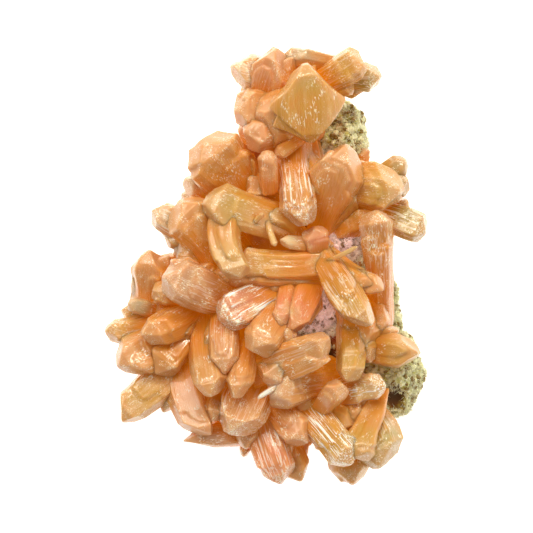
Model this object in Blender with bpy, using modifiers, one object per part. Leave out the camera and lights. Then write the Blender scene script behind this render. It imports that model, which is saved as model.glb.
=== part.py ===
"""Stilbite with mordenite: sheaves of flat, pointed crystals grown together on a lumpy, crusted matrix.

The specimen lies on its broken back. +Z points up from the surface that it rests on and +Y runs along its
length. The origin is on that surface, under the middle of the specimen. The tables below are in millimetres.
"""

import math
import random
from collections import namedtuple

import bmesh
import bpy
from mathutils import Matrix, Vector, noise

MM = 0.001
GAP = 0.3
SEED = 7
# Faces that meet at less than this angle are merged in one
FLAT_ANGLE = math.radians(1.5)

# The matrix: rounded lumps of rock that run into each other, each a centre and three radii
MATRIX_LUMPS = (
    ((6, 30, 3), (15, 18, 17)),
    ((19.5, 33, 7), (5.6, 9, 14)),
    ((3, 6, 3), (25, 23, 17)),
    ((19, 6, 10), (8, 8, 12)),
    ((8, -25, 3), (27, 17, 17)),
    ((14, -12, 12), (6, 6, 11)),
    ((23.6, -11, 4), (10, 9.5, 13)),
    ((-14, -18, 3), (14, 15, 16)),
    ((31.4, -27, 7), (7.8, 11, 14)),
)
MATRIX_VOXEL = 2.0
MATRIX_TRIANGLES = 1500
# The height and the size of the bumps that the crust adds to the lumps
CRUST_BUMPS = ((2.6, 9.0), (1.6, 3.6))

# The share of a crystal's half width that its broad face takes, and where a bent crystal has its rings
BROAD_FACE = 0.8
BEND_RINGS = (0.36, 0.7)
# The share of a crystal's half width that stays blunt on each side of its apex, and where its end's bevels
# start, as a share of half its thickness
BLUNT_TIP = 0.16
END_BEVEL = 0.5
# Crystals at least this wide carry a leaf: a thinner crystal that fans out of them by this many degrees. Its
# lift is a share of their thickness, and its length, width and thickness are shares of theirs
LEAF_WIDTH = 9.5
LEAF_TURN = 9
LEAF_LIFT = 0.24
LEAF_SIZE = (0.94, 0.72, 0.55)

Blade = namedtuple("Blade", "root tip width thickness roll waist point lean bow")


def blade(root, tip, width, thickness, roll=0, waist=0.6, point=0.42, lean=0, bow=0):
    """A crystal from its root to its tip. Roll turns its broad face from facing up, in degrees. Waist is the
    width at the root and point the height of the pointed end, as shares of the width. Lean moves the apex to
    the left as it points, as a share of half the width, and bow is how far its middle bends."""
    return Blade(root, tip, width, thickness, roll, waist, point, lean, bow)


# The clusters of grown-together crystals, from the ones that stand in front to those behind
CLUSTERS = {
    "stilbite_arch": (
        blade((-9.5, 16, 28), (-6.5, -2.8, 38), 7.5, 5.5, 8, 0.85, 0.2, 0, -2.2),
        blade((7, 9, 23), (-15, 17, 35), 10.5, 5.5, 10, 0.6, 0.3, -0.2),
        blade((9, 5, 20), (0.5, 13.5, 30), 8, 4.5, -40, 0.7),
        blade((8, 3, 17), (-6, 9, 21), 10, 5, 0, 0.8),
        blade((-5, 9, 28), (-0.8, 13.2, 34.5), 1.4, 1.2, 0, 1, 0.4),
        blade((-0.6, 13.6, 28.5), (2.2, 5, 33.5), 1.6, 1.4, 0, 1, 0.4),
    ),
    "stilbite_centre_arms": (
        blade((13, 3.5, 25), (24.6, -15, 38), 9.6, 7, 8, 0.62, 0.55, -0.3),
        blade((15, 0.5, 26), (-3.6, 2.4, 33), 7, 5.5, 18, 0.85, 0.2),
        blade((14, -3, 24), (-10.5, -2.6, 31), 5.4, 4.6, 15, 0.85, 0.4),
        blade((13, 1, 25), (12, 9.6, 31), 6.6, 4.2, 15, 0.5, 0.2),
        blade((12, 5.6, 27), (3.2, 6.6, 32), 3.6, 2.4, 20, 0.8, 0.5),
        blade((15, 2, 24), (29, -6, 33), 4.8, 3.4, 10, 0.7, 0.5),
        blade((12.6, 0, 28), (22.6, 5, 35.5), 1.2, 1.1, 0, 1, 0.8),
    ),
    "stilbite_hanging_blade": (
        blade((6.5, 31, 21), (8.6, 10, 35), 9.2, 6, 14, 0.75, 0.45, -0.2),
        blade((10.5, 32, 18), (13, 20, 28), 5.5, 4.5, -10, 0.8),
    ),
    "stilbite_crown": (
        blade((12, 30, 26), (9.4, 50.4, 37), 19, 9, -6, 0.35, 0.5, 0.1),
        blade((14, 36, 18), (2, 40, 33), 15, 9, -6, 0.6, 0.4),
        blade((9, 34, 20), (-4.8, 31.8, 31), 7, 5.5, 20, 0.8, 0.25, 0.2),
        blade((10, 33, 25), (2.4, 27.6, 30), 3.4, 3.0, 0, 0.9, 0.3),
        blade((6, 38.5, 19), (-6.8, 39.4, 29), 9.8, 6, 12, 0.75, 0.3, -0.2),
        blade((-1.5, 41, 20), (2.4, 52.6, 30), 10, 6.5, -15, 0.85, 0.3, -0.2),
        blade((4, 46.5, 18), (-7.8, 48.9, 26), 7, 5, 10, 0.75, 0.3, 0.2),
        blade((12, 44.5, 20), (23.4, 52, 32), 7, 4, -12, 0.9, 0.2, 0.4),
        blade((19, 50.2, 20), (4.2, 52.8, 26), 4.8, 4, 20, 0.85, 0.3),
        blade((14, 45.5, 19), (28.3, 47, 25), 7.2, 5.5, 12, 0.85, 0.4),
    ),
    "stilbite_upper_right_fan": (
        blade((12.6, 7.5, 20), (20.4, 29.6, 34), 12.6, 7.5, -8, 0.5, 0.32, -0.1),
        blade((17, 20, 22), (33.4, 20, 30), 12, 7, 18, 0.7, 0.25),
        blade((15, 8, 18), (27, 14, 26), 8, 6, 0),
        blade((22, 18, 17), (33.4, 26.2, 24), 5.8, 4.5, 0, 0.7, 0.3),
        blade((22, 16, 17), (35.2, 20.4, 25), 6, 5, 0),
        blade((22, 16.5, 18), (39, 9.2, 25), 8, 5.5, -15, 0.85, 0.25, 0.2),
        blade((12, 12, 17), (28, 19, 21), 13, 8, 0, 0.8, 0.2),
    ),
    "stilbite_right_blade": (
        blade((29.6, -15, 18), (27, 14, 33), 9.2, 6.5, 10, 0.5, 0.4, 0.1),
    ),
    "stilbite_left_log": (
        blade((-7, -9.4, 23), (-25.2, -1.6, 36), 10.4, 7.5, 10, 0.72, 0.3, -0.2),
        blade((-5, -3, 22), (-13, -1.6, 31), 6, 5, 15),
    ),
    "stilbite_left_shield": (
        blade((-7, -2, 21), (-22, 15.6, 32), 12, 7, 8, 0.65, 0.25, 0.1),
        blade((-13, 5, 22), (-28, 14, 27), 6.4, 5, 15, 0.75, 0.35),
        blade((-12, -1, 21), (-25, 5.8, 25), 4.6, 4, 20),
    ),
    "stilbite_upper_left_fan": (
        blade((-5, 16, 20), (-13.4, 32, 33), 14.4, 8, 5, 0.55, 0.2, 0.2),
        blade((-8, 17, 18), (-17.8, 24.4, 29), 7.4, 5.5, 18, 0.7, 0.3),
        blade((-11, 15, 17), (-20, 21.8, 25), 6.8, 4.5, 15),
        blade((-14, 15, 16), (-21.2, 18, 21), 4.8, 4.2, 0),
        blade((2, 14, 18), (-4, 22, 28), 10, 7, 0),
        blade((0.6, 19, 27), (0.2, 28.6, 34), 4.7, 4, 0, 0.9, 0.3),
    ),
    "stilbite_coral_sheaf": (
        blade((4, -9, 25), (-2.6, -21.2, 38), 9.4, 6.5, 0, 0.75, 0.3, 0.2),
        blade((4, -5, 24), (-11.6, -13.2, 34), 8.8, 5.5, 12, 0.75, 0.2),
        blade((11, -4, 24), (5.8, -16, 34), 7.6, 5.5, -12, 0.75, 0.5),
        blade((5, -4, 24), (3.4, -14.6, 35), 5, 5, 10, 0.8, 0.45),
    ),
    "stilbite_centre_blade": (
        blade((-3, -26.4, 26), (16, -19, 39), 9.2, 6, 10, 0.75, 0.4, -0.3),
        blade((-1, -22, 24), (3.4, -28.4, 35), 7.6, 5.5, 0, 0.85, 0.3),
    ),
    "stilbite_lower_left_fan": (
        blade((-10.6, -10.6, 24), (-10.6, -26.4, 35), 7, 5.5, 8, 0.85, 0.4),
        blade((-4.4, -17, 25), (-8, -32.2, 37), 6.4, 5, 10, 0.8, 0.55),
        blade((-15.4, -12.6, 22), (-13, -31.4, 36), 7.8, 5.5, 8, 0.75, 0.25, 0.2, -0.8),
        blade((-2, -26.6, 21), (-8.4, -41, 33), 11.6, 7, 8, 0.8, 0.25, 0.1),
        blade((-21, -22.6, 20), (-15.4, -41.6, 28), 8, 5.5, 0, 0.8, 0.3, 0, -1.2),
        blade((-11, -28, 21), (-13.4, -38.6, 29), 5, 4.5, 0),
        blade((-3, -34, 19), (-5.2, -45.4, 26), 6.8, 5, 8, 0.9),
        blade((-2, -42, 18), (-20.6, -42.6, 24), 4.6, 3.8, 0, 0.8, 1.1, -0.3),
        blade((-4.6, -42, 19), (-5.8, -47.8, 22), 2.8, 2.4, 0, 1, 0.5),
        blade((-16, -19, 22), (-3, -31, 25), 14, 8, 0, 0.8, 0.2),
    ),
    "stilbite_left_rosette": (
        blade((-17, -10.6, 21), (-30.4, -17.6, 32), 8, 6, 12, 0.75, 0.35, 0.2),
        blade((-18, -9, 20), (-28.2, -5.8, 28), 6.8, 5, 8, 0.7, 0.3),
        blade((-29, -10, 17), (-29, 2.6, 25), 9.4, 6, -8, 0.75, 0.3, -0.3),
        blade((-25, -11.6, 19), (-34.6, -9.2, 26), 3.8, 3.4, 0, 0.9, 0.2),
        blade((-25, -13.4, 18), (-39.5, -16.4, 25), 6, 4.5, 8, 0.85, 0.45, 0.2),
        blade((-20, -16, 18), (-36.2, -24.8, 28), 9.2, 6, 8, 0.7, 0.3, -0.2),
        blade((-16, -13, 19), (-27.6, -26.4, 28), 9, 6, 8, 0.75, 0.3),
        blade((-15, -17, 19), (-36.6, -37.8, 25), 8.4, 6, 8, 0.8, 0.6, -0.2),
    ),
    "stilbite_right_pair": (
        blade((21.6, -13, 22), (20.6, -28.6, 34), 7.4, 6, 10, 0.85, 0.35, 0.2),
        blade((21.4, -8, 20), (24.6, -20.4, 29), 10, 6, 0, 0.8, 0.3),
        blade((21, -19.6, 20), (38.2, -21.6, 28), 8, 5.5, 8, 0.75, 0.45),
        blade((27, -6, 18), (28, -17, 26), 6, 5, 0),
    ),
    "stilbite_lower_boss": (
        blade((15, -28.6, 20), (1.6, -30.6, 34), 8, 6, 0, 0.8, 0.3, -0.3),
        blade((5.5, -28.6, 31), (-2.2, -32.6, 36.5), 1.3, 1.2, 0, 1, 0.6),
    ),
    "stilbite_lower_right_fan": (
        blade((12.4, -37.4, 25), (18.4, -29.2, 35), 5.6, 4.5, -15, 0.75, 0.3),
        blade((8, -33.4, 22), (21.2, -48.8, 34), 9, 6, 8, 0.8, 0.3),
        blade((29.4, -31.6, 21), (22, -47.4, 33), 6, 4.5, 12, 0.8, 0.4),
        blade((14, -32, 20), (29.2, -29.6, 31), 6.8, 5.5, 10, 0.75, 0.25),
        blade((25.6, -34, 18), (28.8, -48.6, 27), 11, 6.5, -5, 0.65, 0.22),
        blade((16, -38, 17), (21, -54.1, 25), 8.4, 6, 8, 0.8, 0.3),
        blade((17, -31, 18), (23, -40, 26), 10, 7, 0),
    ),
    "stilbite_bottom_pair": (
        blade((0, -32.4, 20), (9.8, -43.4, 30), 8, 6, 8, 0.8, 0.3),
        blade((-2, -35, 21), (4.8, -53.6, 25), 7.8, 6, 12, 0.8, 0.45, 0.2),
        blade((1, -38, 18), (8, -53.2, 21), 6.8, 4.5, 0, 0.8, 0.4),
    ),
}

# The middle crystals of the low sheaves that stand out of the matrix's sides, under the clusters
RIM_CRYSTALS = (
    blade((-14, 8, 10), (-27, 9.5, 13), 6.5, 4.5),
    blade((-18, -4, 9), (-31.5, -3.4, 12), 7, 5),
    blade((-20, -16, 8), (-35, -19.4, 12.5), 7, 5),
    blade((-16, -27, 9), (-26, -30.6, 12), 6, 4.5),
    blade((-5, 25, 10), (-15.6, 28.6, 14), 7, 5),
    blade((1, 38, 9), (0, 50.5, 13), 6.5, 4.5),
    blade((12, 38, 8), (15, 50, 12), 7.5, 5),
    blade((-6, -34, 8), (-11, -43, 11.5), 6.5, 4.5),
    blade((4, -36, 9), (4.5, -50, 12.5), 7.5, 5),
    blade((18, -36, 8), (20, -50, 12.5), 7.5, 5),
    blade((20, 5, 9), (33, 9.5, 13), 7, 5),
    blade((16, 20, 9), (32.4, 22.6, 13), 7, 5),
)
# How far the crystals beside the middle one of a low sheaf turn and roll from it, in degrees, how much
# higher or lower they end, and their size beside it
RIM_SPREAD = 34
RIM_ROLL = 20
RIM_RISE = 1.6
RIM_SIDE_SIZE = 0.82

# Base colour and roughness of each finish
FINISHES = {
    "peach_stilbite": ((0.80, 0.42, 0.22), 0.32),
    "honey_stilbite": ((0.76, 0.46, 0.19), 0.34),
    "coral_stilbite": ((0.84, 0.36, 0.22), 0.30),
    "mordenite_crust": ((0.55, 0.52, 0.30), 0.85),
}
HONEY_CLUSTERS = {"stilbite_arch", "stilbite_lower_right_fan", "stilbite_right_pair", "stilbite_right_blade"}
CORAL_CLUSTERS = {"stilbite_coral_sheaf", "stilbite_left_log"}


def clear_scene():
    for old in list(bpy.data.objects):
        bpy.data.objects.remove(old)


def new_collection(name, hidden=False):
    made = bpy.data.collections.new(name)
    bpy.context.scene.collection.children.link(made)
    made.hide_render = hidden
    return made


def finish(name):
    """The material of that finish, made once."""
    if name in bpy.data.materials:
        return bpy.data.materials[name]
    colour, roughness = FINISHES[name]
    material = bpy.data.materials.new(name)
    material.use_nodes = True
    shader = material.node_tree.nodes["Principled BSDF"]
    shader.inputs["Base Color"].default_value = (*colour, 1)
    shader.inputs["Roughness"].default_value = roughness
    shader.inputs["Metallic"].default_value = 0
    return material


def new_object(name, mesh, collection, helper=False):
    made = bpy.data.objects.new(name, mesh)
    collection.objects.link(made)
    if helper:
        made.hide_render = True
        made.display_type = "WIRE"
    return made


def settled(obj):
    """A new mesh of the object with its modifiers applied."""
    graph = bpy.context.evaluated_depsgraph_get()
    return bpy.data.meshes.new_from_object(obj.evaluated_get(graph), depsgraph=graph)


def cut_by(bm, point, normal):
    """Takes away what lies on the normal's side of a plane, and closes the cut."""
    parts = bm.verts[:] + bm.edges[:] + bm.faces[:]
    bmesh.ops.bisect_plane(bm, geom=parts, plane_co=point, plane_no=normal, clear_outer=True)
    bmesh.ops.holes_fill(bm, edges=[edge for edge in bm.edges if edge.is_boundary])


def ring_at(bm, height):
    parts = bm.verts[:] + bm.edges[:] + bm.faces[:]
    bmesh.ops.bisect_plane(bm, geom=parts, plane_co=(0, 0, height), plane_no=(0, 0, 1))


def end_planes(shape, length, grow):
    """The planes of a crystal's end: two across its width, and two small ones across its thickness."""
    half, flat = shape.width / 2, shape.thickness / 2
    drop = shape.point * shape.width
    apex, blunt = -shape.lean * half, BLUNT_TIP * half
    planes = []
    for side in (-1, 1):
        run = half - side * apex - blunt
        normal = Vector((side * drop, 0, run)).normalized()
        planes.append((Vector((apex + side * blunt, 0, length)) + normal * grow, normal))
        normal = Vector((0, side, 1)).normalized()
        planes.append((Vector((0, side * END_BEVEL * flat, length)) + normal * grow, normal))
    return planes


def blade_mesh(shape, grow=0.0):
    """One closed crystal, or one that is larger all round by grow."""
    root, tip = Vector(shape.root), Vector(shape.tip)
    length = (tip - root).length
    bm = bmesh.new()
    quarter_turn = Matrix.Rotation(math.pi / 2, 4, "Z")
    lifted = Matrix.Translation((0, 0, 0.5))
    bmesh.ops.create_cone(
        bm, cap_ends=True, segments=6, radius1=1, radius2=1, depth=1, matrix=lifted @ quarter_turn
    )
    for height in BEND_RINGS if shape.bow else ():
        ring_at(bm, height)
    half, flat = shape.width / 2 + 1.3 * grow, shape.thickness / 2 + grow
    hexagon_flat = math.cos(math.pi / 6)
    for vertex in bm.verts:
        x, y, along = vertex.co
        swell = shape.waist + (1 - shape.waist) * along
        if abs(y) > 0.1:
            x = math.copysign(BROAD_FACE, x)
        vertex.co = (x * half * swell, y / hexagon_flat * flat * swell, along * (length + 2 * grow) - grow)
    for point, normal in end_planes(shape, length, grow):
        cut_by(bm, point, normal)
    for vertex in bm.verts:
        vertex.co.x += shape.bow * math.sin(vertex.co.z / length * math.pi)
    bmesh.ops.recalc_face_normals(bm, faces=bm.faces[:])
    bm.transform(Matrix.Scale(MM, 4) @ standing(shape))
    mesh = bpy.data.meshes.new("blade")
    bm.to_mesh(mesh)
    bm.free()
    return mesh


def leaf_of(shape, side):
    """The thinner crystal that fans out of a wide one, to its left or right, a little above or below it."""
    root, tip = Vector(shape.root), Vector(shape.tip)
    face = standing(shape).to_3x3() @ Vector((0, 1, 0))
    turn = Matrix.Rotation(math.radians(side * LEAF_TURN), 3, face)
    lifted = root + face * LEAF_LIFT * side * shape.thickness
    length, width, thickness = LEAF_SIZE
    return shape._replace(
        root=tuple(lifted),
        tip=tuple(lifted + turn @ (tip - root) * length),
        width=width * shape.width,
        thickness=thickness * shape.thickness,
        lean=-shape.lean,
    )


def rim_sheaf(shape):
    """A low crystal with a smaller one fanned out on each side of it, one lifted and the other lowered."""
    root, tip = Vector(shape.root), Vector(shape.tip)
    crystals = [shape]
    for side in (-1, 1):
        reach_out = Matrix.Rotation(math.radians(side * RIM_SPREAD), 3, "Z") @ (tip - root) * RIM_SIDE_SIZE
        reach_out.z += side * RIM_RISE
        size = {"width": shape.width * RIM_SIDE_SIZE, "thickness": shape.thickness * RIM_SIDE_SIZE}
        crystals.append(shape._replace(tip=tuple(root + reach_out), roll=side * RIM_ROLL, **size))
    return crystals


def with_leaves(blades, chance):
    leaves = [leaf_of(shape, chance.choice((-1, 1))) for shape in blades if shape.width >= LEAF_WIDTH]
    return list(blades) + leaves


def standing(shape):
    """The matrix that stands a crystal made along +Z on its root, with its broad face up and rolled."""
    root, tip = Vector(shape.root), Vector(shape.tip)
    axis = (tip - root).normalized()
    up = Vector((0, 0, 1))
    face = (up - axis * up.dot(axis)).normalized()
    face.rotate(Matrix.Rotation(math.radians(shape.roll), 3, axis))
    side = face.cross(axis)
    turned = Matrix((side, face, axis)).transposed().to_4x4()
    return Matrix.Translation(root) @ turned


def reach(shape):
    """The lowest and highest corner of the box that a crystal lies in."""
    margin = Vector((1, 1, 1)) * (shape.width / 2 + 1)
    low = Vector(map(min, shape.root, shape.tip)) - margin
    high = Vector(map(max, shape.root, shape.tip)) + margin
    return low, high


def near(first, second):
    low, high = reach(first)
    other_low, other_high = reach(second)
    return all(low[i] < other_high[i] and other_low[i] < high[i] for i in range(3))


def join(obj, other, operation):
    modifier = obj.modifiers.new(operation.lower(), "BOOLEAN")
    modifier.operation = operation
    modifier.object = other
    modifier.solver = "EXACT"


def bodies_of(bm):
    """The lists of faces that hang together, the longest list first."""
    bodies = []
    for first in bm.faces:
        if first.tag:
            continue
        first.tag = True
        body = [first]
        for face in body:
            for edge in face.edges:
                for beside in edge.link_faces:
                    if not beside.tag:
                        beside.tag = True
                        body.append(beside)
        bodies.append(body)
    return sorted(bodies, key=len, reverse=True)


def largest_body(mesh):
    """Keeps the body with the most faces, as a cut can leave chips behind, and merges its flat faces."""
    bm = bmesh.new()
    bm.from_mesh(mesh)
    chips = [face for body in bodies_of(bm)[1:] for face in body]
    bmesh.ops.delete(bm, geom=chips, context="FACES")
    bmesh.ops.dissolve_limit(bm, angle_limit=FLAT_ANGLE, verts=bm.verts[:], edges=bm.edges[:])
    bmesh.ops.triangulate(bm, faces=bm.faces[:])
    bm.to_mesh(mesh)
    bm.free()
    return mesh


def crust_height(place):
    """How far the crust stands out at a place on the matrix, in millimetres."""
    return sum(height * noise.noise(place / size) for height, size in CRUST_BUMPS)


def matrix_mesh(helpers):
    """The rock: its lumps run together, roughened, thinned to few triangles and cut off flat at the back."""
    bm = bmesh.new()
    for centre, radii in MATRIX_LUMPS:
        placed = Matrix.Translation(centre) @ Matrix.Diagonal((*radii, 1))
        bmesh.ops.create_icosphere(bm, subdivisions=4, radius=1, matrix=Matrix.Scale(MM, 4) @ placed)
    lumps = bpy.data.meshes.new("lumps")
    bm.to_mesh(lumps)
    bm.free()
    rock = new_object("lumps", lumps, helpers, helper=True)
    fuse = rock.modifiers.new("fuse", "REMESH")
    fuse.mode = "VOXEL"
    fuse.voxel_size = MATRIX_VOXEL * MM
    rock.data = settled(rock)
    rock.modifiers.clear()
    moved = [v.co + v.normal * crust_height(v.co / MM) * MM for v in rock.data.vertices]
    for vertex, place in zip(rock.data.vertices, moved):
        vertex.co = place
    thin = rock.modifiers.new("thin", "DECIMATE")
    thin.ratio = MATRIX_TRIANGLES / (2 * len(rock.data.polygons))
    bm = bmesh.new()
    bm.from_mesh(settled(rock))
    cut_by(bm, Vector((0, 0, 0)), Vector((0, 0, -1)))
    bmesh.ops.triangulate(bm, faces=bm.faces[:])
    mesh = bpy.data.meshes.new("mordenite_matrix")
    bm.to_mesh(mesh)
    bm.free()
    return mesh


def grown_copy(mesh, distance):
    """A copy of the mesh with its surface moved out."""
    copy = mesh.copy()
    moved = [v.co + v.normal * distance for v in copy.vertices]
    for vertex, place in zip(copy.vertices, moved):
        vertex.co = place
    return copy


def finish_name(cluster):
    if cluster in HONEY_CLUSTERS:
        return "honey_stilbite"
    return "coral_stilbite" if cluster in CORAL_CLUSTERS else "peach_stilbite"


def build_cluster(name, blades, in_front, matrix_cutter, parts, helpers):
    """Joins a cluster's crystals in one solid, clear of the matrix and of the clusters in front of it."""
    pieces = [new_object(name, blade_mesh(shape), helpers, helper=True) for shape in blades]
    base = pieces[0]
    for piece in pieces[1:]:
        join(base, piece, "UNION")
    for other in in_front:
        if any(near(other, shape) for shape in blades):
            cutter = new_object("cutter", blade_mesh(other, GAP), helpers, helper=True)
            join(base, cutter, "DIFFERENCE")
    join(base, matrix_cutter, "DIFFERENCE")
    mesh = largest_body(settled(base))
    base.modifiers.clear()
    base.name = name + "_blank"
    new_object(name, mesh, parts)
    mesh.name = name
    mesh.materials.clear()
    mesh.materials.append(finish(finish_name(name)))


def main():
    clear_scene()
    parts = new_collection("stilbite_with_mordenite")
    helpers = new_collection("cutters", hidden=True)
    rock = matrix_mesh(helpers)
    rock.materials.append(finish("mordenite_crust"))
    new_object("mordenite_matrix", rock, parts)
    matrix_cutter = new_object("matrix_cutter", grown_copy(rock, 1.2 * GAP * MM), helpers, helper=True)
    chance = random.Random(SEED)
    in_front = []
    for name, blades in CLUSTERS.items():
        blades = with_leaves(blades, chance)
        build_cluster(name, blades, in_front, matrix_cutter, parts, helpers)
        in_front.extend(blades)
    for number, shape in enumerate(RIM_CRYSTALS, 1):
        blades = rim_sheaf(shape)
        build_cluster(f"rim_sheaf_{number}", blades, in_front, matrix_cutter, parts, helpers)
        in_front.extend(blades)


main()
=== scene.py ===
"""The looks of stilbite with mordenite: striated, waxy crystals in sheaves, on a rock with a needle crust.

The crystals' places are near the ones that the CAD part was made from, in millimetres, and every finished piece
is in metres. Each crystal is modelled standing on the origin, is given its ribs and its own coordinates there,
and is then put in its place.
"""

import math
import random
from collections import namedtuple

import bmesh
import bpy
import numpy as np
from mathutils import Euler, Matrix, Vector, noise


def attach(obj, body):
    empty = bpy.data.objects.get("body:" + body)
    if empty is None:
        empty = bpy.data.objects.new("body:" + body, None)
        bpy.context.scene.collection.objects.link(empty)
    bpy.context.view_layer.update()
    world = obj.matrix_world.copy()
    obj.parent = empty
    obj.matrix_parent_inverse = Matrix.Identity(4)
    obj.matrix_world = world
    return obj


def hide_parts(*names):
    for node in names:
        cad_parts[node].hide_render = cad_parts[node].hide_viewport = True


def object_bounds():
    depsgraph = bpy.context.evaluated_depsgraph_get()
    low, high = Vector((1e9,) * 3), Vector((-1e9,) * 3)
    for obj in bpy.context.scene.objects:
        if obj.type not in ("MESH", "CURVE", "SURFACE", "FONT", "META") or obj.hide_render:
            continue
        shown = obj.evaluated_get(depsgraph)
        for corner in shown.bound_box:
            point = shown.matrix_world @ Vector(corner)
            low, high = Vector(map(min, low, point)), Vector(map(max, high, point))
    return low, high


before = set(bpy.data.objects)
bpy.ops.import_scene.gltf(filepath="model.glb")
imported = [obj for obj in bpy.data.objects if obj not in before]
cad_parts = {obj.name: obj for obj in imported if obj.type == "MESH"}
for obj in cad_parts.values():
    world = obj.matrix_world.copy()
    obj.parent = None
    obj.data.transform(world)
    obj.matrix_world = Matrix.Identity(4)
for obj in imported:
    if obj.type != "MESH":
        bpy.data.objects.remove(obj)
cad_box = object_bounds()

MM = 0.001
ROOT = "root"

# The camera looks straight down at the middle height of the crystals, where 533 pixels are 133.25 mm wide
PHOTO_WIDTH = 133.25
SHARP_HEIGHT = 25
LENS = 300
SENSOR = 36
FARTHEST = 10

# The studio: the floor's side in metres and its glow, the sky, and the lights, each with its place and two sides
# in metres and its power in watts
FLOOR_SIZE = 3
FLOOR_GLOW = 0.76
SKY_STRENGTH = 0.34
SKY_COLOUR = (1, 0.98, 0.92, 1)
WARM_WHITE = (1, 0.98, 0.82)
LIGHTS = (
    ("key", (-0.35, 0.45, 0.75), (0.5, 0.4), 4.1),
    ("fill", (0.6, -0.2, 0.6), (0.6, 0.6), 1.5),
    ("strip", (0.15, 0.5, 0.5), (0.5, 0.05), 2.4),
)

# A crystal starts as a hexagon: the share of its width that a hexagon's flat face takes, half its height as a
# share of its radius, and the least and the greatest share that a crystal's broad face takes
HEXAGON_BROAD_FACE = 0.5
HEXAGON_FLAT = math.cos(math.pi / 6)
BROAD_FACE = (0.45, 0.8)
# The share of a crystal's half width that stays blunt on each side of its apex, and where its end's bevels
# start, as a share of half its thickness
BLUNT_TIP = 0.08
TIP_BEVEL = (0.1, 0.5)
# How much more pointed and how much wider the crystals are than the CAD part's
SHARPER = 1.4
WIDER = 1.06
# How much wider a crystal's root is than in the CAD part, as a share of its width, where it runs into others:
# up to the widest, and only from the least waist on
ROOT_SPREAD = 0.25
WIDEST_ROOT = 1.05
LEAST_WAIST = 0.5
# Crystals at least this wide carry a leaf, a thinner crystal that fans out of them: how far it turns, in degrees,
# how far it is lifted, as a share of the thickness, and its length, width and thickness beside the crystal
LEAF_SEED = 7
LEAF_WIDTH = 9.5
LEAF_TURN = 9
LEAF_LIFT = 0.24
LEAF_SIZE = (0.94, 0.72, 0.55)
# The crystals beside the middle one of a low sheaf: how far they turn and roll, in degrees, how far one rises and
# the other drops, and their size beside it
SIDE_TURN = 34
SIDE_ROLL = 20
SIDE_RISE = 1.6
SIDE_SIZE = 0.82
LOW_SHEAF_TONES = ("orange", "peach", "honey", "pink")
# The shorter, lower crystals that fill the gaps beside the wider ones: the least width that has one, how far it
# turns, in degrees, how much lower it ends, its length, width and thickness beside the first, and its tones
FILLER_SEED = 5
FILLER_WIDTH = 6.4
FILLER_TURN = (13, 22)
FILLER_DROP = 2.5
FILLER_SIZE = (0.74, 0.8, 0.8)
FILLER_TONES = ("orange", "honey", "deep", "peach")
# The fillers' gleam: how deep their ribs are and how much painted highlight they carry
FILLER_STRIAE_AND_PAINTED_GLEAM = 0.1
# The clusters that keep their gaps
OPEN_CLUSTERS = {"stilbite_arch", "stilbite_right_blade"}
# The narrower crystals that a crystal is grown together from, laid on its upper and its lower face: how many,
# their width, thickness and length beside it, how far they stand proud, how far out they start and how far they
# fan out on the way, as shares of their place across it, and how far they turn and tilt, in degrees
SLAT_SEED = 11
SLAT_WIDTH = 4.4
UPPER_SLATS = 3
LOWER_SLATS = 1
SLAT_SHARE = (0.4, 0.82)
SLAT_DEPTH = (0.55, 0.85)
SLAT_LENGTH = (0.68, 0.96)
SLAT_PROUD = (0.08, 0.38)
SLAT_ROOT = 0.5
SLAT_FAN = 0.8
SLAT_TURN = 1
SLAT_TILT = 2.5
SLAT_TILT_SHARE = (-0.4, 1)
# Crystals thinner than this have lower slats, ribs and swells
FULL_THICKNESS = 5
# How far a crystal bends of its own, as a share of its length, how much its width swells, and how often
OWN_BEND = 0.025
WIDTH_SWELL = 0.07
WIDTH_SWELLS = (0.8, 1.6)
# Ribs along a crystal and the slow swells of its faces: the size of the pattern across and along, and its height.
# A crystal without gleam has this share of the ribs, and each has its own place in the patterns
RIBS = ((0.9, 20), 0.16)
SWELLS = ((3.6, 7), 0.5)
LEAST_RIBS = 0.2
PATTERN_REACH = 500
COLOUR_REACH = 99
# How much the three channels of a crystal's tint vary
TINT_CHANGE = (0.96, 1.04)
# Where along itself a plain crystal's colour starts
PLAIN_ALONG = 0.6
# How far in from a crystal's outline its paler edge runs, and its greatest share of the width
EDGE_WIDTH = 2.4
EDGE_SHARE = 0.25

# The size of the cells that the surfaces are made from, and how far they are smoothed
CRYSTAL_CELL = 0.34
FINE_CELL = 0.2
FINE_WIDTH = 3
ROCK_CELL = 0.55
SOFTEN = 0.5
# A gap between crystals: the cells that heights are taken in, how far around a point counts, how far below the
# heights around it a point starts to lie in a gap and lies deep in it, and the height from which it counts fully
HEIGHT_CELL = 0.5
CREVICE_REACH = 3
CREVICE_DEPTHS = (0.8, 8)
CREVICE_LEVEL = 20
# How strong the painted glow is that stands in for light passed on into the gaps, and the pink linings' painted
# glow
PAINTED_CREVICE_GLOW = 0.22
PAINTED_LINING_GLOW = 0.24
# How the crystals' tints run into each other: the cells that they are gathered in, and the share that is shared
TINT_CELL = 1
TINT_SHARE = 0.75

# A crystal from its root to its tip. Roll turns its broad face from facing up, in degrees. Waist is the width at
# the root and point the height of the pointed end, as shares of the width. Lean moves the apex to the left as it
# points, as a share of half the width, and bow is how far its middle bends. Gleam sets how deep its ribs and
# striae are and how much painted highlight it carries: pale streaks, dashes and glints painted into its colour.
# A plain crystal is pointed at both ends, has smooth faces and one tone.
Blade = namedtuple(
    "Blade",
    "root tip width thickness roll waist point lean bow tone gleam plain",
    defaults=(0, 0.6, 0.42, 0, 0, "peach", 0.12, False),
)

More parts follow.
